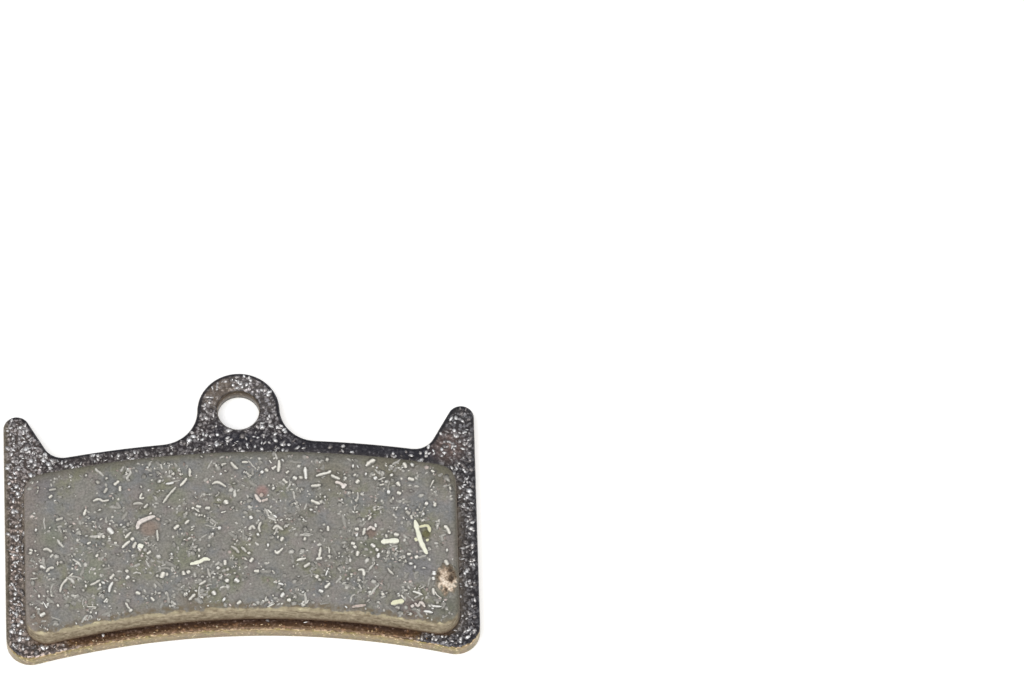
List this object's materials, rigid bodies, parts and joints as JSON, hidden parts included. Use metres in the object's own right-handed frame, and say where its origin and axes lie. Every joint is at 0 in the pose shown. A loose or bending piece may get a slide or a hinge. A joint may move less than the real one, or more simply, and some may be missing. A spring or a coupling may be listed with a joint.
{
  "type": "bicycle disc brake pad",
  "caption": "Flat disc brake pad: a coated steel backing plate with a pin tab and two ears, and a moulded friction block locked into it by plugs.",
  "frame": {"origin": "on the axis of the pin hole, in the plane of the plate's back face", "axes": "+Z along the pin hole, from the plate's back to the friction side; +Y from the friction block to the pin tab; +X to the right when the friction side is seen with the tab upwards"},
  "size_m": [0.0474, 0.0313, 0.0038],
  "materials": {
    "coated_steel": "metallic flake coat: khaki gold on the back and the rim, dark grey with coarse bright flakes on the friction side",
    "friction_compound": "matte grey resin compound, ground flat, with chopped brass fibres, copper chips and pale specks"
  },
  "bodies": {
    "root": {"backing_plate": "coated_steel", "friction_block": "friction_compound"}
  },
  "joints": []
}
